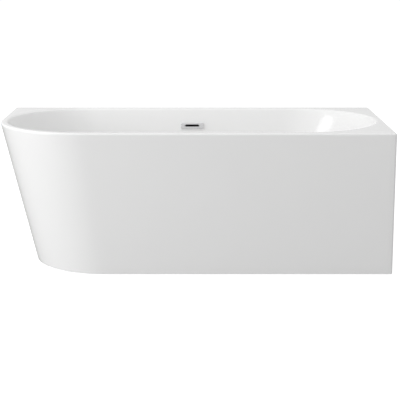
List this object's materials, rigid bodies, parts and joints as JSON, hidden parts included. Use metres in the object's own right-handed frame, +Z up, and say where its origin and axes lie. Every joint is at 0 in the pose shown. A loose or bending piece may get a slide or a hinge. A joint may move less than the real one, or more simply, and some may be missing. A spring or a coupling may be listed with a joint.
{
  "type": "bathtub",
  "caption": "Corner bathtub with a stadium bowl, a one-piece apron rounded at the left end, slotted overflow, push plug, trap and steel frame on levelling feet.",
  "frame": {"origin": "on the floor, under the middle of the deck", "axes": "+X along the bath towards its square right end, +Y towards the wall behind it, +Z up"},
  "size_m": [1.7, 0.8, 0.605],
  "materials": {
    "white_acrylic": "polished gloss",
    "glass_fibre": "rough laminate",
    "board": "raw chipboard",
    "zinc_steel": "zinc plated",
    "powder_steel": "grey powder coat",
    "chrome": "polished",
    "brass": "turned",
    "rubber": "matt",
    "white_plastic": "moulded",
    "grey_plastic": "moulded",
    "black_plastic": "moulded"
  },
  "bodies": {
    "tub": {"basin": "white_acrylic", "fibreglass_coat": "glass_fibre", "skirt": "white_acrylic", "skirt_backing": "glass_fibre", "base_board": "board", "rim_battens": "board", "corner_boards": "board", "skirt_batten": "board", "front_rail": "powder_steel", "back_left_rail": "powder_steel", "back_right_rail": "powder_steel", "left_cross_member": "powder_steel", "middle_cross_member": "powder_steel", "right_cross_member": "powder_steel", "tube_end_caps": "black_plastic", "board_screws": "zinc_steel", "skirt_brackets": "zinc_steel", "skirt_screws": "zinc_steel", "foot_bushes": "powder_steel", "foot_lock_nuts": "zinc_steel", "drain_flange": "chrome", "drain_top_seal": "rubber", "drain_lower_seal": "rubber", "click_cartridge": "brass", "drain_body": "white_plastic", "trap_nut": "grey_plastic", "trap_seal": "rubber", "trap_cup": "white_plastic", "outlet_bend": "white_plastic", "outlet_nut": "grey_plastic", "overflow_bezel": "chrome", "overflow_clamp_plate": "zinc_steel", "overflow_screws": "zinc_steel", "overflow_gasket": "rubber", "overflow_body": "black_plastic", "overflow_pipe": "grey_plastic", "overflow_pipe_nuts": "black_plastic"},
    "plug": {"plug_cap": "chrome", "plug_seal": "rubber", "plug_stem": "brass"},
    "pad_front_left": {"foot_pad_front_left": "black_plastic"},
    "stud_front_left": {"foot_stud_front_left": "zinc_steel"},
    "pad_back_left": {"foot_pad_back_left": "black_plastic"},
    "stud_back_left": {"foot_stud_back_left": "zinc_steel"},
    "pad_front_middle": {"foot_pad_front_middle": "black_plastic"},
    "stud_front_middle": {"foot_stud_front_middle": "zinc_steel"},
    "pad_back_middle": {"foot_pad_back_middle": "black_plastic"},
    "stud_back_middle": {"foot_stud_back_middle": "zinc_steel"},
    "pad_front_right": {"foot_pad_front_right": "black_plastic"},
    "stud_front_right": {"foot_stud_front_right": "zinc_steel"},
    "pad_back_right": {"foot_pad_back_right": "black_plastic"},
    "stud_back_right": {"foot_stud_back_right": "zinc_steel"}
  },
  "joints": [
    {"name": "plug_slide", "type": "slide", "parent": "tub", "child": "plug", "axis": [0, 0, 1], "range_m": [0, 0.009]},
    {"name": "foot_lift_front_left", "type": "slide", "parent": "tub", "child": "pad_front_left", "axis": [0, 0, 1], "range_m": [-0.021, 0.0076]},
    {"name": "foot_turn_front_left", "type": "hinge", "parent": "pad_front_left", "child": "stud_front_left", "pos_m": [-0.45, -0.3, 0], "axis": [0, 0, 1], "range_deg": [-5100, 1850]},
    {"name": "foot_lift_back_left", "type": "slide", "parent": "tub", "child": "pad_back_left", "axis": [0, 0, 1], "range_m": [-0.021, 0.0076]},
    {"name": "foot_turn_back_left", "type": "hinge", "parent": "pad_back_left", "child": "stud_back_left", "pos_m": [-0.45, 0.3, 0], "axis": [0, 0, 1], "range_deg": [-5100, 1850]},
    {"name": "foot_lift_front_middle", "type": "slide", "parent": "tub", "child": "pad_front_middle", "axis": [0, 0, 1], "range_m": [-0.021, 0.0076]},
    {"name": "foot_turn_front_middle", "type": "hinge", "parent": "pad_front_middle", "child": "stud_front_middle", "pos_m": [0.15, -0.3, 0], "axis": [0, 0, 1], "range_deg": [-5100, 1850]},
    {"name": "foot_lift_back_middle", "type": "slide", "parent": "tub", "child": "pad_back_middle", "axis": [0, 0, 1], "range_m": [-0.021, 0.0076]},
    {"name": "foot_turn_back_middle", "type": "hinge", "parent": "pad_back_middle", "child": "stud_back_middle", "pos_m": [0.15, 0.3, 0], "axis": [0, 0, 1], "range_deg": [-5100, 1850]},
    {"name": "foot_lift_front_right", "type": "slide", "parent": "tub", "child": "pad_front_right", "axis": [0, 0, 1], "range_m": [-0.021, 0.0076]},
    {"name": "foot_turn_front_right", "type": "hinge", "parent": "pad_front_right", "child": "stud_front_right", "pos_m": [0.75, -0.3, 0], "axis": [0, 0, 1], "range_deg": [-5100, 1850]},
    {"name": "foot_lift_back_right", "type": "slide", "parent": "tub", "child": "pad_back_right", "axis": [0, 0, 1], "range_m": [-0.021, 0.0076]},
    {"name": "foot_turn_back_right", "type": "hinge", "parent": "pad_back_right", "child": "stud_back_right", "pos_m": [0.75, 0.3, 0], "axis": [0, 0, 1], "range_deg": [-5100, 1850]}
  ],
  "couplings": [
    {"joint": "foot_turn_front_left", "follows": "foot_lift_front_left", "rad_per_m": 4188.8},
    {"joint": "foot_turn_back_left", "follows": "foot_lift_back_left", "rad_per_m": 4188.8},
    {"joint": "foot_turn_front_middle", "follows": "foot_lift_front_middle", "rad_per_m": 4188.8},
    {"joint": "foot_turn_back_middle", "follows": "foot_lift_back_middle", "rad_per_m": 4188.8},
    {"joint": "foot_turn_front_right", "follows": "foot_lift_front_right", "rad_per_m": 4188.8},
    {"joint": "foot_turn_back_right", "follows": "foot_lift_back_right", "rad_per_m": 4188.8}
  ]
}
